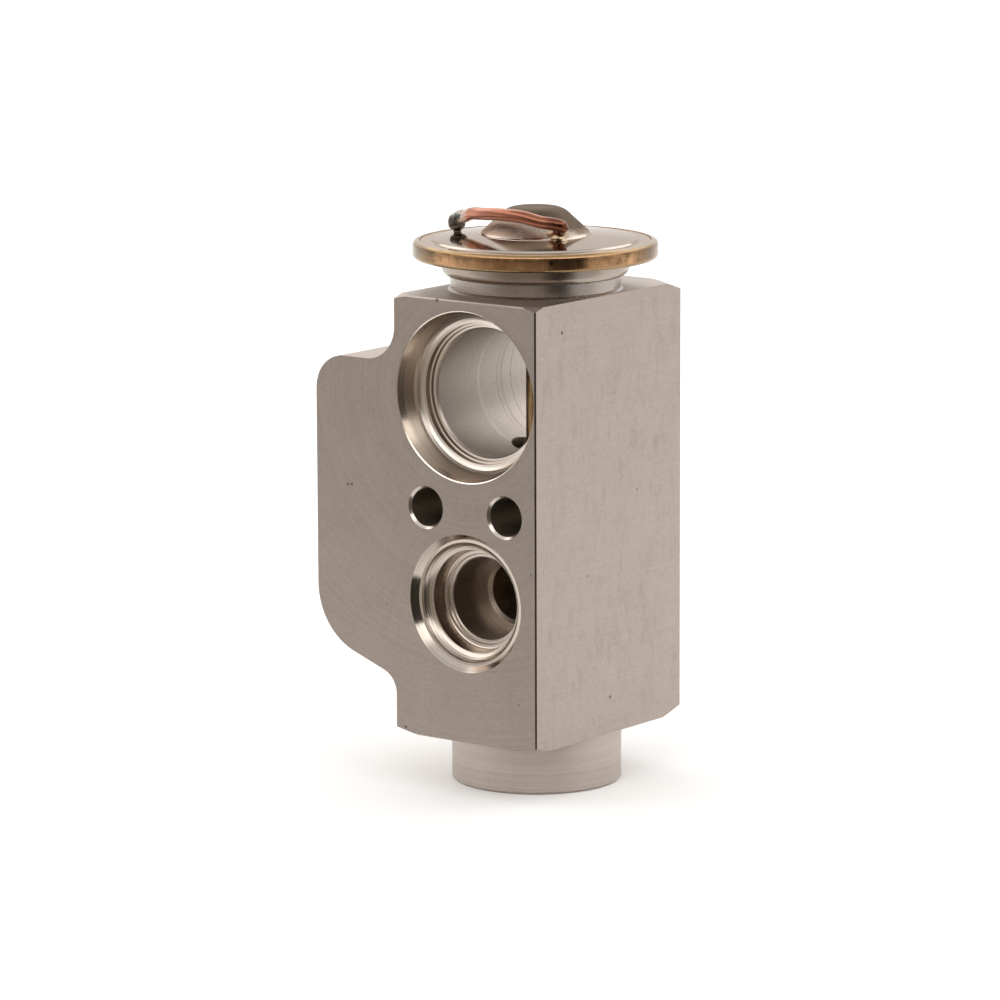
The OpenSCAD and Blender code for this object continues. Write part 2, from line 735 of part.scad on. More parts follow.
module rim_weld() {
    z0 = flange_z0 - 0.05;
    z1 = edge_z1 + 0.05;
    r = cover_d / 2 + weld_reach - weld_round;
    color("#b08a4e")
        rotate_extrude()
            polygon(concat(
                [[cover_d / 2, z0]],
                arc(r, z0 + weld_round, weld_round, -80, 0, 6),
                arc(r, z1 - weld_round, weld_round, 0, 80, 6),
                [[cover_d / 2, z1]]
            ));
}

module diaphragm() {
    low = plate_top + 0.02;
    bend_r = plate_d / 2 + 0.1;
    rim_r = bowl_inner_r + 0.4;
    color("#d5d2cd")
        rotate_extrude()
            polygon([
                [0, low], [bend_r, low], [rim_r, flange_z1], [cover_d / 2, flange_z1],
                [cover_d / 2, edge_z0], [rim_r, edge_z0], [bend_r, low + diaphragm_t], [0, low + diaphragm_t]
            ]);
}

module diaphragm_plate() {
    color("#b9a88a")
        difference() {
            union() {
                translate([0, 0, plate_z])
                    cylinder(h = plate_t, d = plate_d);
                translate([0, 0, plate_z - hub_h])
                    cylinder(h = hub_h + 0.5, d = hub_d);
            }
            translate([0, 0, plate_z - hub_h - 1])
                cylinder(h = hub_h + 1, r = rod_d / 2 + 0.01);
            // bleed holes that let the head breathe
            for (a = [0:90:270])
                rotate([0, 0, a + 45])
                    translate([plate_d / 3, 0, plate_z - 1])
                        cylinder(h = plate_t + 2, d = bleed_d);
        }
}

module charge_tube() {
    last = len(tube_route) - 1;
    path = [for (i = [0:4 * last]) smooth_point(tube_route, i / 4)];
    color("#b5704e")
        sweep_tube(path, tube_d / 2, tube_bore_d / 2, 12, 5);
}

module tube_base_solder() {
    color("#d9c9a6")
        difference() {
            tube_foot_bar(collar_d / 2, -0.7, 0.15);
            cover_form(edge_z0);
            tube_foot_bar(tube_d / 2 + 0.01, -2, 3);
        }
    color("#d9c9a6")
        difference() {
            translate(foot_point)
                rotate([0, 0, foot_turn])
                    rotate([0, foot_tilt, 0])
                        translate([0, 0, 0.15])
                            cylinder(h = collar_h - 0.15, r1 = collar_d / 2, r2 = tube_d / 2 + 0.15);
            cover_form(edge_z0);
            tube_foot_bar(tube_d / 2 + 0.01, -2, 3);
        }
}

module tube_tip_solder() {
    r = lump_d / 2;
    color("#5a5752")
        difference() {
            translate([lump_at.x, lump_at.y, 0])
                rotate_extrude()
                    intersection() {
                        union() {
                            translate([0, lump_seat + lump_h - r])
                                circle(r, $fn = 48);
                            polygon([
                                [0, lump_seat - 0.5], [0.55, lump_seat - 0.5], [0.55, lump_seat + 0.15],
                                [r * cos(50), lump_seat + lump_h - r - r * sin(50)], [0, lump_seat + lump_h - r]
                            ]);
                        }
                        translate([0, lump_seat - 1])
                            square([2 * r, lump_h + 0.98]);
                    }
            cover_form(edge_z0);
            // bed of the tube's straight end
            translate(end_point)
                rotate([0, 0, atan2(end_dir.y, end_dir.x)])
                    rotate([0, acos(end_dir.z), 0])
                        translate([0, 0, -4])
                            cylinder(h = 4 + eps, r = tube_d / 2 + 0.01);
        }
}

module head_seal() {
    color("#2b2b2b")
        o_ring(head_thread_d / 2 + head_seal_t / 2 + 0.02, head_seal_t / 2 - 0.01, boss_z - head_seal_t / 2 - 0.02);
}

module operating_rod() {
    color("#c8b27a")
        rotate_extrude()
            polygon([
                [0, rod_z0], [rod_tip_d / 2, rod_z0], [rod_tip_d / 2, rod_z0 + rod_tip_l - 0.3],
                [rod_d / 2, rod_z0 + rod_tip_l], [rod_d / 2, rod_z1 - 0.2], [rod_d / 2 - 0.2, rod_z1],
                [0, rod_z1]
            ]);
}

module rod_seal() {
    color("#2b2b2b")
        o_ring(rod_d / 2 + rod_seal_t / 2 + 0.02, rod_seal_t / 2 - 0.01, pocket_z + rod_seal_t / 2 + 0.02);
}

module rod_seal_washer() {
    color("#cfc9c0")
        translate([0, 0, washer_z])
            ring(pocket_d / 2 - 0.05, rod_d / 2 + 0.1, washer_t);
}

module rod_seal_retainer() {
    color("#a8a49e")
        translate([0, 0, retainer_z])
            difference() {
                ring(pocket_d / 2 - 0.01, rod_d / 2 + 0.4, retainer_t);
                for (i = [0:retainer_teeth - 1])
                    rotate([0, 0, 360 * i / retainer_teeth])
                        translate([pocket_d / 2 - 0.75, -0.3, -1])
                            cube([2, 0.6, retainer_t + 2]);
            }
}

// Three-cornered leaf that stands in the pocket on its corners, with a dimple on each flat
module rod_damper() {
    corner_r = pocket_d / 2 - 0.05;
    flat_r = corner_r / 2 - damper_t;
    dimple_r = 1;
    reach = rod_d / 2 + 0.03;
    color("#a8a49e")
        translate([0, 0, damper_z]) {
            difference() {
                cylinder(h = damper_h, r = corner_r, $fn = 3);
                translate([0, 0, -1])
                    cylinder(h = damper_h + 2, r = 2 * flat_r, $fn = 3);
            }
            for (a = [60:120:300])
                rotate([0, 0, a])
                    intersection() {
                        translate([reach + dimple_r, 0, damper_h / 2])
                            sphere(dimple_r, $fn = 32);
                        translate([0, -dimple_r, 0])
                            cube([flat_r + damper_t / 2, 2 * dimple_r, damper_h]);
                    }
        }
}

module valve_seat() {
    color("#8f8b86")
        rotate_extrude()
            polygon([
                [orifice_d / 2 + seat_cone_h * tan(seat_half_angle), seat_z], [seat_d / 2 - 0.01, seat_z],
                [seat_d / 2 - 0.01, seat_z + seat_h - 0.3], [seat_d / 2 - 0.3, seat_z + seat_h],
                [orifice_d / 2, seat_z + seat_h], [orifice_d / 2, seat_cone_top]
            ]);
}

module valve_ball() {
    color("#dcdad6")
        translate([0, 0, ball_z])
            sphere(d = ball_d);
}

module ball_carrier() {
    color("#b9a88a")
        difference() {
            union() {
                translate([0, 0, carrier_z0])
                    cylinder(h = carrier_flange, d = carrier_d);
                translate([0, 0, carrier_z0 - stem_l])
                    cylinder(h = stem_l + 0.5, d = stem_d);
            }
            translate([0, 0, ball_z])
                sphere(r = ball_d / 2 + 0.01);
            // relief under the ball
            translate([0, 0, ball_z - ball_d / 2 - 0.7])
                cylinder(h = 1, d = 1.4);
        }
}

// Coil spring with flat ground ends: the first and last turns lie close, those between stand open
module superheat_spring() {
    n = 20;
    total = round(spring_turns * n);
    span = spring_z1 - spring_z0 - wire_d;
    dead = 0.75;
    rise_end = wire_d * dead * 0.9;
    path = [
        for (i = [0:total])
            let (
                turn = i / n,
                rest = spring_turns - turn,
                z = turn < dead ? turn / dead * rise_end
                    : rest < dead ? span - rest / dead * rise_end
                    : rise_end + (turn - dead) / (spring_turns - 2 * dead) * (span - 2 * rise_end)
            )
            [spring_d / 2 * cos(360 * turn), spring_d / 2 * sin(360 * turn), spring_z0 + wire_d / 2 + z]
    ];
    color("#8a8f94")
        intersection() {
            sweep_round(path, wire_d / 2, 8);
            translate([0, 0, spring_z0 + 0.05])
                cylinder(h = spring_z1 - spring_z0 - 0.1, d = spring_d + 2 * wire_d);
        }
}

module adjusting_screw() {
    plug_r = chamber_d / 2 - screw_clearance - 0.03;
    groove_r = chamber_d / 2 - screw_seal_t - 0.06;
    color("#c7a85c")
        difference() {
            rotate_extrude()
                polygon([
                    [0, screw_z0], [screw_thread_d / 2 - 0.4, screw_z0], [screw_thread_d / 2, screw_z0 + 0.4],
                    [screw_thread_d / 2, screw_z1 - 0.4], [screw_thread_d / 2 - 0.4, screw_z1],
                    [plug_r, screw_z1], [plug_r, groove_z], [groove_r, groove_z],
                    [groove_r, groove_z + groove_w], [plug_r, groove_z + groove_w], [plug_r, screw_z2 - 0.3],
                    [plug_r - 0.3, screw_z2], [0, screw_z2]
                ]);
            translate([0, 0, pocket_floor])
                cylinder(h = screw_pocket_depth + 1, d = screw_pocket_d);
            translate([0, 0, screw_z0 - 1])
                cylinder(h = socket_depth + 1, d = socket_af / cos(30), $fn = 6);
            // lead-in of the socket
            translate([0, 0, screw_z0 - eps])
                cylinder(h = 0.5, r1 = socket_af / 2 + 0.6, r2 = socket_af / 2 + 0.1);
        }
}

module adjusting_screw_seal() {
    color("#2b2b2b")
        o_ring(chamber_d / 2 - screw_seal_t / 2 - 0.03, screw_seal_t / 2 - 0.01, groove_z + groove_w / 2);
}

valve_block();
upper_cover();
lower_cover();
rim_weld();
diaphragm();
diaphragm_plate();
charge_tube();
tube_base_solder();
tube_tip_solder();
head_seal();
operating_rod();
rod_damper();
rod_seal_retainer();
rod_seal_washer();
rod_seal();
valve_seat();
valve_ball();
ball_carrier();
superheat_spring();
adjusting_screw();
adjusting_screw_seal();
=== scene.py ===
# %% [markdown]
# # A block expansion valve
#
# The object is the small metal valve that meters refrigerant in a vehicle's air conditioner. A block of
# extruded aluminium carries the ports, and a power head of pressed steel sits on top of it.
#
# The CAD model already holds every piece at its true size, so the first step only loads it. Everything
# after that is in the same frame: objects are placed in metres, and patterns are written in millimetres.

# %% Load the frame
import math

import bmesh
import bpy
from mathutils import Matrix, Vector, noise
from mathutils.bvhtree import BVHTree


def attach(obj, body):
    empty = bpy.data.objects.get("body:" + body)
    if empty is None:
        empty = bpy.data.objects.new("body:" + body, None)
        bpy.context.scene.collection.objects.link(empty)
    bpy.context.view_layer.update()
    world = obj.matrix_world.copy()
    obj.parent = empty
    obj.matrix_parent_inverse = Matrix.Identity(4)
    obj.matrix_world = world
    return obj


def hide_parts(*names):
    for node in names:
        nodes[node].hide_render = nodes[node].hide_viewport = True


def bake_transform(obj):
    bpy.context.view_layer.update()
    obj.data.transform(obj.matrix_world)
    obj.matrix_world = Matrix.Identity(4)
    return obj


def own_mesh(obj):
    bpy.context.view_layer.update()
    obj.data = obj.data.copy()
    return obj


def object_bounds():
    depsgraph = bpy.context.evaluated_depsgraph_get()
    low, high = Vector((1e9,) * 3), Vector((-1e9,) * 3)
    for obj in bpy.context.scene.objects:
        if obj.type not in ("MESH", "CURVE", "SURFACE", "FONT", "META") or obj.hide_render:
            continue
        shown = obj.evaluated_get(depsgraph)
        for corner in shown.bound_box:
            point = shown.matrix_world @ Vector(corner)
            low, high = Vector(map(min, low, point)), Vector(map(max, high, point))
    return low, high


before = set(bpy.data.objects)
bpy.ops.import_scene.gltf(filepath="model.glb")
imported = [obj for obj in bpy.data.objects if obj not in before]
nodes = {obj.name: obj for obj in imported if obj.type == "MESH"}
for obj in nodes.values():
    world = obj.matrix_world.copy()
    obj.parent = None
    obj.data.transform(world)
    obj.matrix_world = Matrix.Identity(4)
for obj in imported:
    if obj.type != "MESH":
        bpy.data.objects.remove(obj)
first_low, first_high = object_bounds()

scene = bpy.context.scene
MM = 0.001
print("pieces from the CAD model:", len(nodes))
print("size in mm:", [round((b - a) / MM, 2) for a, b in zip(first_low, first_high)])

# %% [markdown]
# ## The camera
#
# The picture was taken with a long lens from a little above, with the near corner of the block to the
# right of the middle. The camera could be placed by eye, but a fit of known corners gives a lens and a
# direction that lay the render exactly over the picture, so every later difference is one of looks.

# %% Set the camera
AZIMUTH, ELEVATION, ROLL = (math.radians(a) for a in (37.553, 10.23, -0.217))
EYE = Vector((0.46032, -0.60722, 0.17794))
LENS, SENSOR = 194.87, 36
NEAREST, FARTHEST = 0.05, 50

back = Vector((
    math.sin(AZIMUTH) * math.cos(ELEVATION), -math.cos(AZIMUTH) * math.cos(ELEVATION), math.sin(ELEVATION)
))
across = Vector((math.cos(AZIMUTH), math.sin(AZIMUTH), 0))
upward = back.cross(across)
right = math.cos(ROLL) * across + math.sin(ROLL) * upward
above = math.cos(ROLL) * upward - math.sin(ROLL) * across

camera_data = bpy.data.cameras.new("camera")
camera_data.lens, camera_data.sensor_width = LENS, SENSOR
camera_data.clip_start, camera_data.clip_end = NEAREST, FARTHEST
camera = bpy.data.objects.new("camera", camera_data)
camera.matrix_world = Matrix.Translation(EYE) @ Matrix((right, above, back)).transposed().to_4x4()
scene.collection.objects.link(camera)
scene.camera = camera
scene.view_settings.view_transform = "Standard"
print("camera distance in m:", round(EYE.length, 3))

# %% [markdown]
# ## A short way to write shader nodes
#
# Every finish below is a small network of nodes. Linking each one by hand takes four lines a node, and
# hides the idea behind the plumbing. One class that wraps an output socket turns `mask * 2 + 1` into the
# nodes that do it, so a finish reads like the formula that it is.

# %% A socket that knows arithmetic
class Wire:
    """An output socket of a shader node. Arithmetic on it adds the nodes that do the sum."""

    def __init__(self, tree, socket):
        self.tree = tree
        self.socket = socket

    def node(self, kind, settings=None, inputs=None, output=0):
        """Adds a node, sets its settings first and its sockets next, and returns one of its outputs."""
        made = self.tree.nodes.new("ShaderNode" + kind)
        for name, value in (settings or {}).items():
            setattr(made, name, value)
        for name, value in (inputs or {}).items():
            if isinstance(value, Wire):
                self.tree.links.new(value.socket, made.inputs[name])
            else:
                made.inputs[name].default_value = value
        return Wire(self.tree, made.outputs[output])

    def join(self, operation, first, second):
        """first and second joined by the node that suits what they carry: values, vectors or colours."""
        types = {w.socket.type for w in (first, second) if isinstance(w, Wire)}
        if "RGBA" in types:
            grey = [w if isinstance(w, (Wire, tuple)) else (w, w, w, 1) for w in (first, second)]
            settings = {"data_type": "RGBA", "blend_type": operation}
            return self.node("Mix", settings, {0: 1.0, 6: grey[0], 7: grey[1]}, 2)
        if "VECTOR" in types:
            if operation == "MULTIPLY" and not isinstance(second, (Wire, tuple)):
                return self.node("VectorMath", {"operation": "SCALE"}, {0: first, "Scale": second})
            even = [w if isinstance(w, (Wire, tuple)) else (w, w, w) for w in (first, second)]
            return self.node("VectorMath", {"operation": operation}, {0: even[0], 1: even[1]})
        return self.node("Math", {"operation": operation}, {0: first, 1: second})

    def __add__(self, other):
        return self.join("ADD", self, other)

    def __sub__(self, other):
        return self.join("SUBTRACT", self, other)

    def __rsub__(self, other):
        return self.join("SUBTRACT", other, self)

    def __mul__(self, other):
        return self.join("MULTIPLY", self, other)

    __radd__, __rmul__ = __add__, __mul__

    def math(self, operation, *others):
        """The Math node's other operations, such as ABSOLUTE, MINIMUM or ARCTAN2."""
        return self.node("Math", {"operation": operation}, dict(enumerate((self,) + others)))

    def step(self, start, end):
        """0 at start and 1 at end, with a soft start and end. It falls if start is the larger."""
        inputs = {"Value": self, "From Min": start, "From Max": end}
        if start > end:
            inputs.update({"From Min": end, "From Max": start, "To Min": 1.0, "To Max": 0.0})
        return self.node("MapRange", {"interpolation_type": "SMOOTHSTEP"}, inputs)

    def near(self, value, width):
        """1 at a value, and 0 from width away."""
        return (self - value).math("ABSOLUTE").step(width, 0)

    def between(self, first, second):
        """Two colours mixed by this factor: the first at 0, the second at 1."""
        pair = [w if isinstance(w, Wire) else tuple(w) + (1,) for w in (first, second)]
        return self.node("Mix", {"data_type": "RGBA"}, {0: self, 6: pair[0], 7: pair[1]}, 2)

    def blend(self, first, second):
        """Two numbers mixed by this factor: the first at 0, the second at 1."""
        return self * (second - first) + first

    def parts(self):
        """The X, Y and Z of a vector."""
        first = self.node("SeparateXYZ", None, {0: self})
        return [Wire(self.tree, s) for s in first.socket.node.outputs]

    def vector(self, x, y, z):
        """A vector from three numbers."""
        return self.node("CombineXYZ", None, {0: x, 1: y, 2: z})

    def specks(self, scale, detail=3.0, roughness=0.55, stretch=(1, 1, 1)):
        """Noise from 0 to 1 round 0.5. A larger stretch makes its grain finer along that axis."""
        inputs = {"Vector": self * stretch, "Scale": scale, "Detail": detail, "Roughness": roughness}
        return self.node("TexNoise", None, inputs)


def round_axis(x, z):
    """The distance of a point from a line through x and z along Y."""
    return (x * x + z * z).math("SQRT")


print("a wire adds, subtracts, multiplies, steps and mixes")

# %% A finish and its relief
class Finish:
    """A material with one Principled shader, and the coordinates that its pattern is made from."""

    def __init__(self, name):
        self.material = bpy.data.materials.new(name)
        self.material.use_nodes = True
        self.tree = self.material.node_tree
        self.shader = self.tree.nodes["Principled BSDF"]
        coordinates = self.tree.nodes.new("ShaderNodeTexCoord")
        self.place = Wire(self.tree, coordinates.outputs["Object"]) * (1 / MM)
        self.facing = Wire(self.tree, coordinates.outputs["Normal"])

    def set(self, **inputs):
        """Sets the shader's inputs: a number or colour straight on the socket, and a Wire by a link."""
        for name, value in inputs.items():
            socket = self.shader.inputs[name.replace("_", " ")]
            if isinstance(value, Wire):
                self.tree.links.new(value.socket, socket)
            elif isinstance(value, tuple):
                socket.default_value = value + (1,)
            else:
                socket.default_value = value

    def bump(self, height, depth):
        """Relief from a height pattern, which rises by depth in mm where the pattern rises by 1."""
        made = height.node("Bump", None, {"Height": height, "Distance": depth * MM, "Strength": 1.0})
        self.tree.links.new(made.socket, self.shader.inputs["Normal"])
        return self

    def onto(self, *objects):
        """Puts the material on the objects, in place of what they had."""
        for o in objects:
            o.data.materials.clear()
            o.data.materials.append(self.material)
        return self


print("a finish has a shader, coordinates and a bump")

# %% [markdown]
# ## Floor and light
#
# Polished metal shows its surroundings more than its own colour, so the light matters as much as the
# materials. The picture was taken on a small pale table, under a soft ceiling and a bright band of
# windows. The room in front of the table was dark, and darkest on its right: one sector of each port's
# cones, the near edge and the flat of the weld mirror it. Lamps and walls could be built round the table,
# but a world whose brightness changes with direction does the same without any object.
#
# The table ends a little in front of the valve. The camera itself sees the world as plain white, so the
# picture's ground is white on both sides of that edge.

# %% Make the floor
TABLE_FRONT, TABLE_BACK, TABLE_SIDE = 0.045, 3.0, 2.0
# the floor lies this far below the valve, so that the two don't share a plane
FLOOR_GAP = 0.00002

toward = Vector((math.sin(AZIMUTH), -math.cos(AZIMUTH), 0))
floor_data = bpy.data.meshes.new("floor")
corners = [
    toward * reach + across * side
    for reach, side in (
        (TABLE_FRONT, -TABLE_SIDE), (TABLE_FRONT, TABLE_SIDE),
        (-TABLE_BACK, TABLE_SIDE), (-TABLE_BACK, -TABLE_SIDE),
    )
]
floor_data.from_pydata(corners, [], [range(4)])
floor = bpy.data.objects.new("floor", floor_data)
floor.location.z = first_low.z - FLOOR_GAP
scene.collection.objects.link(floor)
pale = Finish("pale_floor")
pale.set(Base_Color=(0.92, 0.92, 0.92), Roughness=0.9, Specular_IOR_Level=0.0)
pale.onto(floor)
print("floor at z in mm:", round(floor.location.z / MM, 3))

# %% Directions of the surroundings
# headings of the edges of the dark room and of its doorway, as angles from the X axis
ROOM_RIGHT, DOOR_LEFT, ROOM_LEFT = math.radians(-4), math.radians(-42), math.radians(-104)
# from which height to which each part comes in, as the Z of a direction
ROOM_TOP, ROOM_FOOT, WINDOW_FOOT, CEILING_FOOT = (0.44, 0.38), (-0.86, -0.7), (0.38, 0.46), (0.68, 0.86)
# the way to the wall behind the valve
AWAY_X, AWAY_Y = -0.6, 0.78

world = bpy.data.worlds.new("studio")
scene.world = world
world.use_nodes = True
sky = world.node_tree
direction = Wire(sky, sky.nodes.new("ShaderNodeTexCoord").outputs["Generated"])
x, y, z = direction.parts()


def past(heading):
    """How far a direction is past a heading, anticlockwise seen from above."""
    return y * math.cos(heading) - x * math.sin(heading)


room = past(ROOM_RIGHT).step(0.08, -0.1) * z.step(*ROOM_TOP) * z.step(*ROOM_FOOT)
room = room * past(ROOM_LEFT).step(-0.45, 0.25)
doorway = past(DOOR_LEFT).step(-0.08, 0.1) * room
rear = (x * AWAY_X + y * AWAY_Y).step(-0.1, 0.4)
print("edges of the dark room in degrees:", [round(math.degrees(a)) for a in (ROOM_RIGHT, ROOM_LEFT)])

# %% Brightness of the surroundings
WALL, BEHIND, DOORWAY, ROOM, WINDOWS, CEILING = 0.75, 1.05, 0.05, 0.33, 2.2, 0.9
# what the camera sees of the world directly
GROUND = 1.1
DAYLIGHT, ROOM_LIGHT, WHITE = (1.0, 0.985, 0.965), (1.0, 0.88, 0.74), (1.0, 1.0, 1.0)

strength = rear.blend(WALL, BEHIND)
for part, brightness in (
    (z.step(*WINDOW_FOOT), WINDOWS), (z.step(*CEILING_FOOT), CEILING), (room, ROOM), (doorway, DOORWAY),
):
    strength = part.blend(strength, brightness)
seen = direction.node("LightPath", output="Is Camera Ray")
strength = seen.blend(strength, GROUND)
colour = seen.between(room.between(DAYLIGHT, ROOM_LIGHT), WHITE)
background = sky.nodes["Background"]
sky.links.new(colour.socket, background.inputs["Color"])
sky.links.new(strength.socket, background.inputs["Strength"])
print("nodes of the world:", len(sky.nodes))

# %% [markdown]
# ## The block
#
# The block is cut from an extruded bar. Its sides keep the fine straight lines of the die, its front is
# milled, and its ports, its boss and its spigot are turned. One material could carry a single brushed
# pattern, but then the ports would look like the sides. Instead, masks from the place and the direction
# of the surface tell the zones apart, and each zone gets its own lines and shine.

# %% Masks for the zones of the block
SUCTION_Z, OUTLET_Z, INLET_Z, BOLT_X, BOLT_Z = 57.35, 27.9, 16.9, 7, 41.0
FRONT_Y, REAR_Y = -16.6, 18.1
BLOCK_LOW, BLOCK_HIGH = 7.8, 71.0
SUCTION_RIM, OUTLET_RIM, INLET_RIM, BOLT_RIM = 12.25, 9.9, 7.8, 3.1
SUCTION_BORE, OUTLET_BORE, INLET_BORE = 9.1, 5.95, 4.3


class Zones:
    """Masks of the block, each 1 inside its zone, from the place p and the direction n of the surface."""

    def __init__(self, p, n):
        x, y, z = p.parts()
        self.x, self.y, self.z = x, y, z
        self.nx, self.ny, self.nz = [part.math("ABSOLUTE") for part in n.parts()]
        self.sides, self.faces = [part.step(0.85, 0.97) for part in (self.nx, self.ny)]
        self.depth = (y - FRONT_Y).math("MINIMUM", REAR_Y - y)
        front = y.step(0.5, -0.5)

        # each port by its distance from its own axis: the small one is the outlet in front, the inlet behind
        self.big = round_axis(x, z - SUCTION_Z)
        self.small = front.blend(round_axis(x, z - INLET_Z), round_axis(x, z - OUTLET_Z))
        self.bolt = round_axis(x.math("ABSOLUTE") - BOLT_X, z - BOLT_Z)
        rim, bore = front.blend(INLET_RIM, OUTLET_RIM), front.blend(INLET_BORE, OUTLET_BORE)
        self.in_big = self.big.step(SUCTION_RIM + 0.1, SUCTION_RIM + 0.02)
        outer = self.faces * self.depth.step(0.06, 0.02)
        self.ports = self.in_big.math("MAXIMUM", (self.small - rim).step(0.1, 0.02)) * (1 - outer)
        big_bore = self.big.step(SUCTION_BORE + 0.12, SUCTION_BORE + 0.04)
        self.bores = big_bore.math("MAXIMUM", (self.small - bore).step(0.12, 0.04)) * self.ports
        self.bolts = self.bolt.step(BOLT_RIM + 0.1, BOLT_RIM + 0.02) * (1 - outer)
        self.chamfers = self.bolts * self.ny.step(0.3, 0.5)

        # the necks are the boss on top and the spigot below
        boss = z.step(BLOCK_HIGH + 0.02, BLOCK_HIGH + 0.08)
        self.necks = z.step(BLOCK_LOW - 0.02, BLOCK_LOW - 0.08).math("MAXIMUM", boss)
        self.lower_half = z.step(40, 30)
        self.turned = self.ports.math("MAXIMUM", self.necks)

        # edges between two flat sides, where the normal is neither
        corner = self.nx.step(0.3, 0.5) * self.ny.step(0.3, 0.5) * self.nz.step(0.3, 0.2)
        self.corner = corner * (1 - self.turned) * (1 - self.bolts)


print("zones of the block ready")

# %% [markdown]
# ## Marks on the block
#
# The block has been handled: small dents and nicks, dark where dirt has stayed in them. Noise makes such
# marks everywhere and anywhere, but the clearest eight are seen at known places, so a short list with
# places and sizes is the truer way. The last four of the list are invented, as wear of the same kind.
# One distance per mark makes a soft spot, and all spots join by their maximum.

# %% Places of the marks
MARKS = (
    ((-21.14, -16.6, 42.9), 0.3), ((-20.4, -16.6, 42.98), 0.26), ((-4.76, -16.6, 70.81), 0.4),
    ((-10.85, -16.6, 8.72), 0.3), ((12.5, -10.42, 66.91), 0.38), ((12.5, 0.84, 13.08), 0.34),
    ((11.65, -16.6, 33.44), 0.2), ((6.67, -16.6, 21.27), 0.18), ((12.5, 7.4, 42.2), 0.22),
    ((-14.2, -16.6, 26.3), 0.16), ((9.4, -16.6, 14.6), 0.18), ((12.5, -4.6, 31.5), 0.2),
)


def spots(p, marks):
    """Soft spots at the marks."""
    found = None
    for place, radius in marks:
        away = p.node("VectorMath", {"operation": "DISTANCE"}, {0: p, 1: place}, 1)
        spot = away.step(radius, radius * 0.35)
        found = spot if found is None else found.math("MAXIMUM", spot)
    return found


print("marks:", len(MARKS))

# %% [markdown]
# ## Grain, colour, shine and relief of the block
#
# The die left straight lines on the sides, the mill faint arcs on the faces, and the lathe rings in the
# ports and round the necks. Noise stretched along one axis makes lines, and noise of the distance from
# an axis makes rings. The same patterns go into the colour, the roughness and the relief, because on the
# real block they are one and the same scratch.

# %% Grain of the block
class Grain:
    """Noise patterns of the block, each stretched the way that its tool moved."""

    def __init__(self, p, at):
        self.die = p.specks(1.0, 4, 0.65, (1, 0.05, 11))
        self.die_wide = p.specks(1.0, 3, 0.5, (1, 0.03, 1.6))
        self.mill = p.vector(at.big, at.y, 0).specks(1.0, 3, 0.6, (3.2, 1, 1))
        self.cloud = p.specks(0.16, 4, 0.6)
        self.mottle = p.specks(2.2, 5, 0.75)
        self.stain = p.specks(0.7, 4, 0.65, (1, 1, 0.3)).step(0.5, 0.75)
        self.marks = spots(p, MARKS)

        # hairlines, where a stretched noise passes its middle, and only in a few places
        hairline = p.specks(0.55, 2, 0.5, (0.7, 0.16, 1.3)).near(0.5, 0.006)
        self.hairlines = hairline * p.specks(0.3, 2).step(0.52, 0.62)

        # rings round each port's axis and round the necks
        port_radius = at.big.math("MINIMUM", at.small + 1.3)
        self.ring_port = p.vector(port_radius, at.y, 0).specks(1.0, 3, 0.7, (6, 6, 1))
        self.ring_neck = p.vector(round_axis(at.x, at.y), 0, at.z).specks(1.0, 3, 0.7, (7, 1, 7))


print("grain of the block ready")

# %% Colour of the block
# the colour of the milled faces is darker than their metal alone: it also carries painted shade on the front
DRAWN, MILLED_AND_SHADED, LILAC = (0.43, 0.366, 0.325), (0.335, 0.284, 0.252), (0.43, 0.36, 0.335)
PORT_WALL, SMALL_LIP, BIG_LIP_LIT = (0.45, 0.37, 0.30), (0.53, 0.465, 0.405), (0.74, 0.67, 0.60)
SMALL_BORE, BIG_BORE = (0.42, 0.36, 0.305), (0.49, 0.44, 0.395)
CHAMFER, BOLT_HOLE, DIRT_AND_SHADE = (0.6, 0.54, 0.48), (0.46, 0.4, 0.33), (0.05, 0.036, 0.026)
# how much green and blue the necks have for their red
NECK_GREEN, NECK_BLUE = 0.875, 0.79
# where a tool stopped in the bores: a step, and the end of a drill
STEP_Y, DRILL_Y = 5.9, 2.4


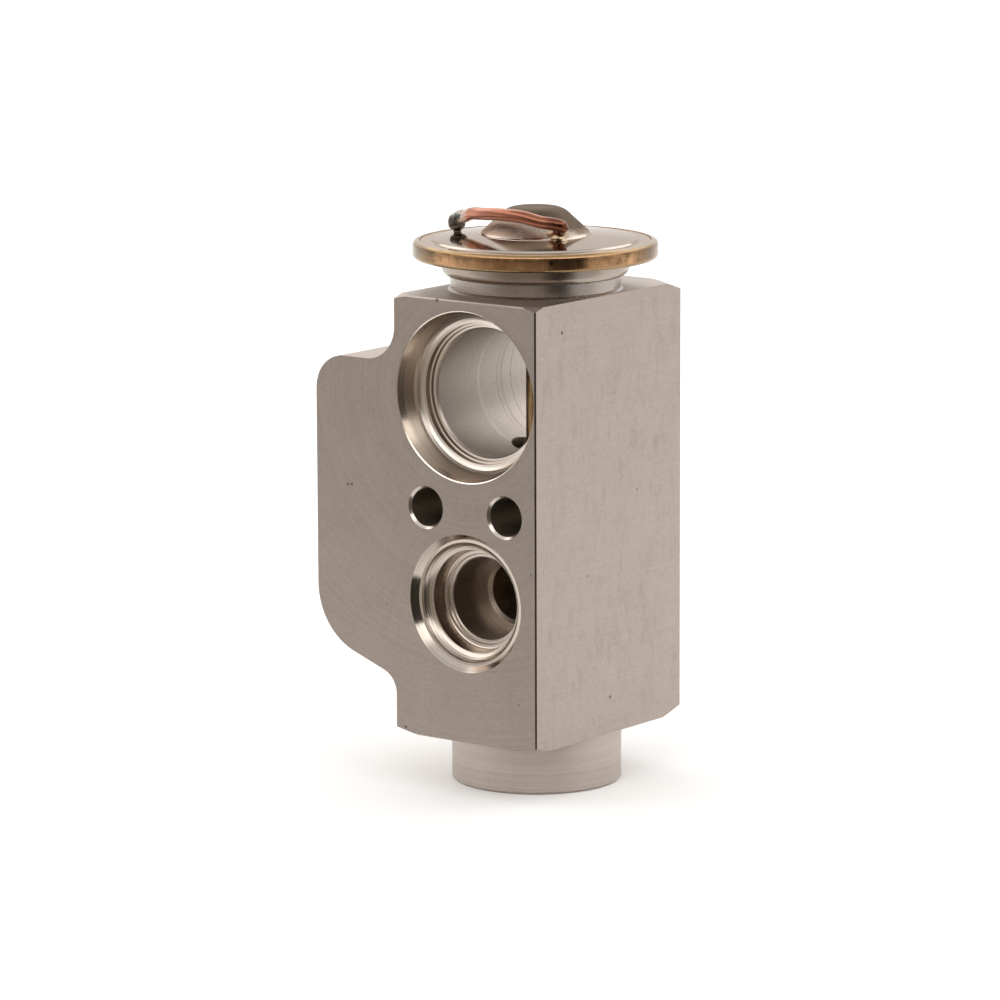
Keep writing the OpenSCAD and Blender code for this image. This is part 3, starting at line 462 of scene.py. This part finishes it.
def block_colour(p, at, grain):
    """The flat sides first, then the turned zones over them, then the soiled marks and a painted dark line
    on the edges.
    """
    # the faces are darker than the sides, partly for their duller milled skin and partly as painted shade
    dull = at.faces.between(DRAWN, MILLED_AND_SHADED)
    lilac = p.specks(0.12, 2, 0.5, (1, 0.3, 1)).step(0.45, 0.7) * at.sides
    dull = (lilac * 0.35).between(dull, LILAC)
    shade = (grain.cloud - 0.5) * 0.24 + (grain.die - 0.5) * at.sides * 0.34
    shade = shade + (grain.mottle - 0.5) * 0.5 - grain.stain * at.sides * 0.12
    shade = shade + (grain.mill - 0.5) * at.faces * 0.26
    dull = dull * (shade + 1)

    # the ledges of the big port are painted pale: fresh machined metal, with a painted highlight over it
    cut = at.ny.step(0.25, 0.5).between(PORT_WALL, at.in_big.between(SMALL_LIP, BIG_LIP_LIT))
    cut = at.bores.between(cut, at.in_big.between(SMALL_BORE, BIG_BORE))
    rings = (grain.ring_port - 0.5) * (1.3 - at.bores * 0.9)
    cut = cut * (rings + (grain.mottle - 0.5) * at.bores * 0.6 + 1)

    neck = (grain.ring_neck - 0.5) * 0.75 + (grain.mottle - 0.5) * 0.25 + 1
    neck = neck * (at.lower_half * 0.1 + 0.38)
    neck = p.vector(neck, neck * NECK_GREEN, neck * NECK_BLUE)

    colour = at.ports.between(dull, cut)
    colour = at.necks.between(colour, neck)
    colour = at.chamfers.between(colour, CHAMFER)
    colour = (at.bolts * (1 - at.chamfers)).between(colour, BOLT_HOLE)

    # a painted dark reflection along the edges between flat sides, and dirt in the marks, in the hairlines
    # and where a tool stopped
    drilled = at.y + (grain.mottle - 0.5) * 0.5
    stops = (at.y.near(STEP_Y, 0.12) * 0.6).math("MAXIMUM", drilled.near(DRILL_Y, 0.13) * 0.4)
    dirt_and_shade = (at.corner * (grain.mottle * 0.8 + 0.5)).math("MINIMUM", 0.92)
    for more in (grain.marks * 0.75, grain.hairlines * 0.16, at.bores * stops):
        dirt_and_shade = dirt_and_shade.math("MAXIMUM", more)
    return dirt_and_shade.between(colour, DIRT_AND_SHADE)


print("colours of the block ready")

# %% Shine and relief of the block
def block_roughness(at, grain):
    """The flat sides are dull, the turned walls shine, and the bores shine less than their lips."""
    flat = (grain.die - 0.5) * at.sides * 0.16 + (grain.cloud - 0.5) * 0.12
    flat = flat + (grain.mottle - 0.5) * 0.14 + 0.45
    port = at.bores * 0.16 + at.depth.step(0.9, 1.6) * 0.12 + at.in_big * 0.07
    port = port + (grain.ring_port - 0.5) * 0.22 + 0.13
    rough = at.ports.blend(flat, port)
    rough = at.necks.blend(rough, (grain.ring_neck - 0.5) * 0.2 + at.lower_half * 0.16 + 0.27)
    return at.bolts.blend(rough, at.chamfers * -0.22 + 0.42)


def block_relief(at, grain):
    """Lines and dents on the flat sides, and rings on the turned zones."""
    lines = grain.die * at.sides * 0.9 + grain.die_wide * at.sides * 0.5 + grain.mill * at.faces * 0.3
    lines = lines + grain.mottle * 0.5 - grain.marks * 2
    turned = grain.ring_port * at.ports * 0.7 + grain.mottle * at.bores * 0.6
    turned = turned + grain.ring_neck * at.necks * 1.8

    # the flared wall of the big port is a little hollow, and the end of its bore runs out softly
    hollow = at.depth.math("MINIMUM", 2.9) * at.in_big * 22
    run_out = (at.depth - 12).math("MAXIMUM", 0).math("MINIMUM", 3) * at.in_big * -6.9
    return at.turned.blend(lines, turned + hollow + run_out)


def block_finish():
    f = Finish("block_aluminium")
    at = Zones(f.place, f.facing)
    grain = Grain(f.place, at)

    # a trace of dust makes the spigot a little less metallic
    dust = at.necks * at.lower_half * 0.1
    rough = block_roughness(at, grain)
    f.set(Base_Color=block_colour(f.place, at, grain), Metallic=1 - dust, Roughness=rough)
    return f.bump(block_relief(at, grain), 0.012)


block = block_finish().onto(nodes["valve_block"])
print("nodes of the block's finish:", len(block.tree.nodes))

# %% [markdown]
# ## Pressed steel of the power head
#
# The two covers are pressed from thin steel and welded round their edge. The upper one is almost a
# mirror, with a duller dome, and the heat of the weld has left straw colours near the rim. Rings round
# the axis carry both: the colour, the shine and the fine lines depend on the distance from it.

# %% Finish of the upper cover
MIRROR_PALE, MIRROR_DARK, STRAW = (0.62, 0.56, 0.515), (0.46, 0.405, 0.365), (0.56, 0.44, 0.29)
DOME_DARK, DOME_PALE = (0.28, 0.22, 0.175), (0.54, 0.47, 0.4)
DOME_TOP, DOME_FOOT, GROOVE_SHADE = (0.06, 0.042, 0.028), (0.40, 0.21, 0.12), (0.2, 0.15, 0.11)
COVER_TINT = (0.74, 0.68, 0.63)
DOME_FOOT_Z, GROOVE_RADIUS, STRAW_RADII = 78.8, 14.6, (14.8, 16.2)


def upper_finish():
    f = Finish("cover_steel_upper")
    p = f.place
    x, y, z = p.parts()
    r = round_axis(x, y)
    dome = z.step(DOME_FOOT_Z + 0.1, DOME_FOOT_Z + 0.5)
    spread = p.specks(0.2, 3, 0.6)
    fine = p.specks(3.2, 5, 0.75)
    spin = p.vector(r, 0, z).specks(1.0, 3, 0.6, (4, 1, 4))
    disc = spread.between(MIRROR_PALE, MIRROR_DARK)
    disc = (r.step(*STRAW_RADII) * 0.6).between(disc, STRAW)

    # the dome is mottled, dark towards its top and rear, and brown in places at its foot
    skin = fine.step(0.3, 0.7).between(DOME_DARK, DOME_PALE)
    top = (z + x * 0.16 + y * 0.24 + (spread - 0.5) * 2.4).step(80.2, 81.5)
    skin = (top * 0.9).between(skin, DOME_TOP)
    foot = z.step(DOME_FOOT_Z + 1.3, DOME_FOOT_Z + 0.1) * p.specks(0.35, 3).step(0.4, 0.6)
    skin = (foot * 0.7).between(skin, DOME_FOOT)

    # a dark ring of painted shade along the crease at the groove's radius
    colour = (r.near(GROOVE_RADIUS, 0.14) * 0.5).between(dome.between(disc, skin), GROOVE_SHADE)
    rough = dome * 0.33 + (spread - 0.5) * 0.05 + (fine - 0.5) * (dome * 0.3 + 0.02) + 0.075
    f.set(Base_Color=colour, Metallic=1.0, Roughness=rough, Specular_Tint=COVER_TINT)
    return f.bump(spin * 0.2 + fine * (dome * 3 + 0.05) + spread * 0.6, 0.008)


upper_finish().onto(nodes["upper_cover"])
print("upper cover finished")

# %% Finishes of the lower cover and the weld
BOWL, BOWL_STRAW = (0.38, 0.33, 0.295), (0.42, 0.32, 0.2)
GOLD_PALE, GOLD_DARK = (0.4, 0.265, 0.135), (0.22, 0.14, 0.07)
BRONZE, BRONZE_SHEEN, SOOT = (0.2, 0.125, 0.065), (0.46, 0.26, 0.135), (0.03, 0.02, 0.014)
WELD_LOW, WELD_HIGH, RIPPLES = 75.45, 78.0, 150
WELD_SPOT = (((12.23, -12.45, 76.85), 0.42),)
# the way to the side of the weld that the camera sees
NEAR_X, NEAR_Y = 0.61, -0.79


def lower_finish():
    f = Finish("cover_steel_lower")
    p = f.place
    x, y, z = p.parts()
    spin = p.vector(round_axis(x, y), 0, z).specks(1.0, 3, 0.6, (5, 1, 5))
    spread = p.specks(0.3, 3, 0.6)
    straw = z.step(74.2, 76.0) * 0.4 + spread * 0.3
    colour = straw.between(BOWL, BOWL_STRAW) * ((spin - 0.5) * 0.4 + 1)
    rough = spread * 0.14 + (spin - 0.5) * 0.1 + 0.2
    f.set(Base_Color=colour, Metallic=1.0, Roughness=rough)
    return f.bump(spin, 0.003)


def weld_finish():
    f = Finish("weld_bead")
    p = f.place
    x, y, z = p.parts()
    ripple = (y.math("ARCTAN2", x) * RIPPLES + p.specks(0.6, 2) * 9).math("SINE") * 0.5 + 0.5
    blotch = p.specks(0.45, 4, 0.65)

    # gold along both edges, partly heat tint and partly painted highlight, and bronze between them, painted
    # lighter as a sheen on the side that the camera sees, with two faint bands, the lower one a painted
    # reflection, and one dark spot
    upper_edge = z.step(WELD_HIGH - 0.42, WELD_HIGH - 0.3)
    edge = z.step(WELD_LOW + 0.75, WELD_LOW + 0.3).math("MAXIMUM", upper_edge)
    gold = blotch.between(GOLD_PALE, GOLD_DARK)
    # a sheen painted lighter on the side of the weld that the camera sees
    near_sheen = (x * NEAR_X + y * NEAR_Y + (blotch - 0.5) * 9).step(9, 14)
    bands = z.step(76.5, 75.8) * 0.3 - z.near(77.2, 0.6) * 0.25
    bronze = near_sheen.between(BRONZE, BRONZE_SHEEN) * (blotch.step(0.3, 0.7) * 0.5 + bands + 0.75)
    colour = edge.between(bronze, gold) * (ripple * 0.04 + 0.98)
    colour = (spots(p, WELD_SPOT) * 0.85).between(colour, SOOT)
    f.set(Base_Color=colour, Metallic=1.0, Roughness=blotch * 0.16 + 0.12)
    return f.bump(ripple * 0.06 + blotch, 0.03)


lower_finish().onto(nodes["lower_cover"])
weld_finish().onto(nodes["rim_weld"])
print("lower cover and weld finished")

# %% [markdown]
# ## The pieces inside
#
# These pieces stand inside the block. The rod shows through the large port, and most of the others don't
# show at all. They get their own finishes too, because the model is also seen from other sides and taken
# apart. They differ in little, so one function with a table is enough.

# %% Finishes of the small pieces
def plain_metal(name, first, second, rough, grain=1.2, depth=0.006, metallic=1.0):
    """A metal that varies softly between two colours, with a little grain."""
    f = Finish(name)
    spread = f.place.specks(grain, 4, 0.6)
    fine = f.place.specks(grain * 7, 3, 0.6)
    rough = fine * 0.12 + (rough - 0.06)
    f.set(Base_Color=spread.between(first, second), Metallic=metallic, Roughness=rough)
    return f.bump(spread * 0.6 + fine * 0.4, depth)


# each finish: its name, two colours, its roughness, what else it sets, and its pieces
SMALL_PIECES = (
    ("diaphragm_steel", (0.6, 0.58, 0.55), (0.48, 0.46, 0.43), 0.22, {}, ["diaphragm"]),
    ("plate_metal", (0.56, 0.54, 0.5), (0.44, 0.42, 0.39), 0.35, {}, ["diaphragm_plate"]),
    ("rod_brass", (0.5, 0.36, 0.19), (0.27, 0.18, 0.095), 0.22, {"grain": 0.7}, ["operating_rod"]),
    ("spring_steel", (0.36, 0.35, 0.34), (0.22, 0.21, 0.2), 0.3, {}, ["superheat_spring", "rod_damper"]),
    (
        "seat_steel", (0.55, 0.54, 0.52), (0.42, 0.41, 0.4), 0.28, {},
        ["valve_seat", "rod_seal_retainer", "rod_seal_washer", "ball_carrier"],
    ),
    ("ball_steel", (0.7, 0.7, 0.7), (0.6, 0.6, 0.6), 0.1, {"grain": 0.6, "depth": 0.001}, ["valve_ball"]),
    ("screw_brass", (0.66, 0.5, 0.27), (0.5, 0.36, 0.18), 0.3, {"grain": 0.8}, ["adjusting_screw"]),
    (
        "seal_rubber", (0.022, 0.022, 0.024), (0.035, 0.034, 0.033), 0.5,
        {"grain": 2.0, "depth": 0.02, "metallic": 0.0}, ["head_seal", "rod_seal", "adjusting_screw_seal"],
    ),
)

for name, first, second, rough, settings, pieces in SMALL_PIECES:
    plain_metal(name, first, second, rough, **settings).onto(*(nodes[n] for n in pieces))
print("finishes of small pieces:", len(SMALL_PIECES))

# %% [markdown]
# ## The charge tube
#
# A thin copper tube, bent by hand, fills the power head and is closed with solder. The CAD tube has the
# right route but flat facets, so a smooth piece takes its place. A sweep could be written point by
# point, but a Bezier curve with automatic handles and a round bevel gives the same tube from the few
# points of the route. Its mesh is then bent a little off true, as soft copper is.

# %% Helpers for organic pieces
def mesh_piece(name, maker, body="housing"):
    """The mesh of an object, with its modifiers or its bevel worked out, as a piece on a body."""
    scene.collection.objects.link(maker)
    bpy.context.view_layer.update()
    evaluated = maker.evaluated_get(bpy.context.evaluated_depsgraph_get())
    mesh = bpy.data.meshes.new_from_object(evaluated)
    bpy.data.objects.remove(maker)
    mesh.transform(Matrix.Scale(MM, 4))
    mesh.polygons.foreach_set("use_smooth", [True] * len(mesh.polygons))
    made = bpy.data.objects.new(name, mesh)
    scene.collection.objects.link(made)
    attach(made, body)
    return made


def ruffle(piece, depth, grain):
    """Moves each point along its normal by a smooth noise, with depth and grain in mm."""
    steps = [v.normal * depth * noise.noise(v.co / (grain * MM)) for v in piece.data.vertices]
    for v, step in zip(piece.data.vertices, steps):
        v.co += step * MM


print("helpers for organic pieces ready")

# %% Make the charge tube
TUBE_RADIUS = 0.9
FOOT, FOOT_WAY = Vector((6.466, -3.337, 79.52)), Vector((0.606, -0.3128, 0.7314)).normalized()
TIP, TIP_WAY = Vector((-11.6, -3.195, 80.45)), Vector((-1.7, 0.5, -0.42)).normalized()
# half the straight length at the foot, and how far before the tip the last two points are
STRAIGHT, LAST_BEND, LAST_POINT = 0.95, 3.42, 1.98
ROUTE = (
    [FOOT - FOOT_WAY * STRAIGHT, FOOT, FOOT + FOOT_WAY * STRAIGHT]
    + [Vector(p) for p in (
        (7.848, -4.226, 80.789), (7.245, -5.152, 81.179), (5.554, -6.239, 81.491), (3.22, -6.923, 82.037),
        (-0.322, -6.923, 82.154), (-4.91, -5.635, 81.82)
    )]
    + [TIP - TIP_WAY * LAST_BEND + Vector((0, 0, 0.16)), TIP - TIP_WAY * LAST_POINT, TIP]
)

route = bpy.data.curves.new("route", "CURVE")
route.dimensions = "3D"
route.resolution_u, route.bevel_resolution = 10, 14
route.bevel_depth = TUBE_RADIUS
route.use_fill_caps = True
spline = route.splines.new("BEZIER")
spline.bezier_points.add(len(ROUTE) - 1)
for point, place in zip(spline.bezier_points, ROUTE):
    point.co = place
    point.handle_left_type = point.handle_right_type = "AUTO"
tube = mesh_piece("smooth_charge_tube", bpy.data.objects.new("route", route))
ruffle(tube, 0.012, 3.2)
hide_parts("charge_tube")
print("points of the tube:", len(tube.data.vertices))

# %% [markdown]
# ## The solder
#
# At the tube's free end a dark lump of solder closes it and sticks to the cover. A sphere would look
# turned on a lathe. Several balls that overlap, joined into one skin by a voxel remesh and then
# smoothed, run together as melted metal does. Where the tube leaves the dome, solder has crept out over
# the steel. A ring that follows the dome by casting rays onto it lies flat at any place.

# %% Make the lump on the tube's end
# each ball: its centre, its radius and its stretch along Z
BALLS = (
    ((-11.62, -3.22, 79.93), 1.32, 1.02), ((-11.25, -3.42, 80.45), 1.08, 0.95),
    ((-10.66, -3.5, 81.0), 0.98, 0.8), ((-11.55, -3.2, 78.75), 0.6, 1.0),
    ((-11.5, -3.2, 78.36), 0.55, 0.5), ((-10.1, -3.66, 80.95), 0.97, 0.95),
)
VOXEL, SMOOTHING = 0.08, 3

shape = bmesh.new()
for centre, radius, tall in BALLS:
    place = Matrix.Translation(centre) @ Matrix.Diagonal((1, 1, tall, 1))
    bmesh.ops.create_icosphere(shape, subdivisions=4, radius=radius, matrix=place)
balls_data = bpy.data.meshes.new("solder_lump")
shape.to_mesh(balls_data)
shape.free()
balls = bpy.data.objects.new("solder_lump", balls_data)
skin = balls.modifiers.new("skin", "REMESH")
skin.mode, skin.voxel_size = "VOXEL", VOXEL
soft = balls.modifiers.new("soft", "SMOOTH")
soft.factor, soft.iterations = 0.5, SMOOTHING
lump = mesh_piece("solder_lump", balls)
ruffle(lump, 0.07, 0.9)
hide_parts("tube_tip_solder")
print("lump in mm:", [round(d / MM, 2) for d in lump.dimensions])

# %% Make the collar round the tube's foot
AROUND, RINGS = 96, 14
COLLAR_INNER, COLLAR_OUTER, COLLAR_HIGH, COLLAR_THICK = 0.98, 1.58, 0.4, 0.11
# how far the collar sinks into the dome, how far it creeps in under the tube, and where its rays start
SUNK, CREPT, RAY_START = 0.04, 0.12, 3

cover_mesh = nodes["upper_cover"].data
cover = BVHTree.FromPolygons(
    [v.co / MM for v in cover_mesh.vertices], [tuple(q.vertices) for q in cover_mesh.polygons]
)
sideways = FOOT_WAY.orthogonal().normalized()
other = FOOT_WAY.cross(sideways)
points, quads = [], []
for i in range(AROUND):
    angle = 2 * math.pi * i / AROUND
    out = sideways * math.cos(angle) + other * math.sin(angle)
    wide = COLLAR_OUTER + 0.3 * noise.noise(out * 1.4) + 0.03 * noise.noise(out * 4)
    high = COLLAR_HIGH * (1 + 0.5 * noise.noise(out * 1.3 + Vector((7, 3, 1))))
    for j in range(RINGS + 1):
        t = j / RINGS
        start = FOOT + out * (COLLAR_INNER + (wide - COLLAR_INNER) * t) + FOOT_WAY * RAY_START
        landed = cover.ray_cast(start, -FOOT_WAY)[0]
        lift = high * (1 - t) ** 2 + COLLAR_THICK * (1 - t ** 6) - SUNK
        points.append(landed + FOOT_WAY * lift - out * CREPT * (1 - t) ** 4)
for i in range(AROUND):
    for j in range(RINGS):
        a, b = i * (RINGS + 1) + j, (i + 1) % AROUND * (RINGS + 1) + j
        quads.append((a, a + 1, b + 1, b))
collar_data = bpy.data.meshes.new("collar")
collar_data.from_pydata(points, [], quads)
collar = mesh_piece("solder_collar", bpy.data.objects.new("collar", collar_data))
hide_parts("tube_base_solder")
print("faces of the collar:", len(quads))

# %% [markdown]
# ## Copper and solder
#
# Heat has darkened the copper where it leaves the dome, tin has left it pale next to the lump, and painted
# shade darkens its underside. The lump of solder is dark with oxide, and is painted pale on its top as a
# highlight.
# Each is one soft mask along an axis, with noise added to it so that its border isn't straight.

# %% Finishes of the tube and the solder
COPPER_PALE, COPPER_DARK, BURNT_AND_SHADED = (0.6, 0.25, 0.155), (0.36, 0.14, 0.085), (0.1, 0.038, 0.024)
TINNED, OXIDE_DARK, OXIDE_PALE = (0.6, 0.49, 0.43), (0.06, 0.052, 0.047), (0.17, 0.15, 0.135)
SOLDER_HIGHLIGHT, COLLAR_PALE, COLLAR_DARK = (0.42, 0.38, 0.35), (0.58, 0.46, 0.32), (0.34, 0.235, 0.14)


def copper_finish():
    f = Finish("copper")
    p = f.place
    x, y, z = p.parts()
    spread = p.specks(0.45, 4, 0.6)
    fine = p.specks(4, 4, 0.7)
    # painted shade along the underside of the tube, joined to the real burnt colour at its foot
    under = (y + z * 0.6).step(43.2, 42.2)
    burnt_and_shaded = x.step(5.2, 7.6).math("MAXIMUM", under * 0.6)
    colour = (burnt_and_shaded * 0.85).between(spread.between(COPPER_PALE, COPPER_DARK), BURNT_AND_SHADED)
    tinned = (x + (fine - 0.5) * 1.6 + (spread - 0.5) * 1.2).step(-8.3, -9.3)
    colour = (tinned * 0.9).between(colour, TINNED)
    rough = (fine - 0.5) * 0.1 + tinned * 0.26 + spread * 0.1 + 0.14
    f.set(Base_Color=colour, Metallic=1.0, Roughness=rough)
    return f.bump(spread * 0.3 + fine * (tinned * 1.4 + 0.08), 0.02)


def lump_finish():
    f = Finish("dark_solder")
    p = f.place
    z = p.parts()[2]
    spread = p.specks(0.9, 4, 0.65)
    fine = p.specks(5, 4, 0.7)
    colour = spread.step(0.3, 0.7).between(OXIDE_DARK, OXIDE_PALE)
    # a highlight painted pale on the top of the lump
    painted_top_light = (z + (spread - 0.5) * 1.4).step(80.7, 81.5)
    colour = (painted_top_light * 0.8).between(colour, SOLDER_HIGHLIGHT)
    f.set(Base_Color=colour, Metallic=1.0, Roughness=fine * 0.16 + painted_top_light * 0.12 + 0.12)
    return f.bump(spread + fine * 0.4, 0.05)


def collar_finish():
    f = Finish("pale_solder")
    p = f.place
    spread = p.specks(1.2, 4, 0.65)
    fine = p.specks(5, 3, 0.6)
    colour = spread.step(0.3, 0.7).between(COLLAR_PALE, COLLAR_DARK)
    f.set(Base_Color=colour, Metallic=1.0, Roughness=fine * 0.14 + 0.22)
    return f.bump(spread + fine * 0.2, 0.012)


copper_finish().onto(tube)
lump_finish().onto(lump)
collar_finish().onto(collar)
print("tube and solder finished")

# %% [markdown]
# ## The two pieces that flex
#
# The spring gets shorter when the screw is driven in, and the diaphragm is pressed flat when the plate
# rises. A rigid piece would cut into its neighbour at those places. Each gets a copy of its own mesh in
# place of the CAD piece: the spring's copy is set into the frame where it stands, and the diaphragm's
# copy rides on the housing.


def flexing_copy(name, node):
    """A copy of a CAD piece, which may change its shape as the CAD piece may not."""
    made = bpy.data.objects.new(name, nodes[node].data.copy())
    made.matrix_world = nodes[node].matrix_world
    scene.collection.objects.link(made)
    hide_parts(node)
    return made


coil = flexing_copy("flexing_spring", "superheat_spring")
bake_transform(coil)
leaf = flexing_copy("flexing_diaphragm", "diaphragm")
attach(leaf, "housing")
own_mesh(leaf)
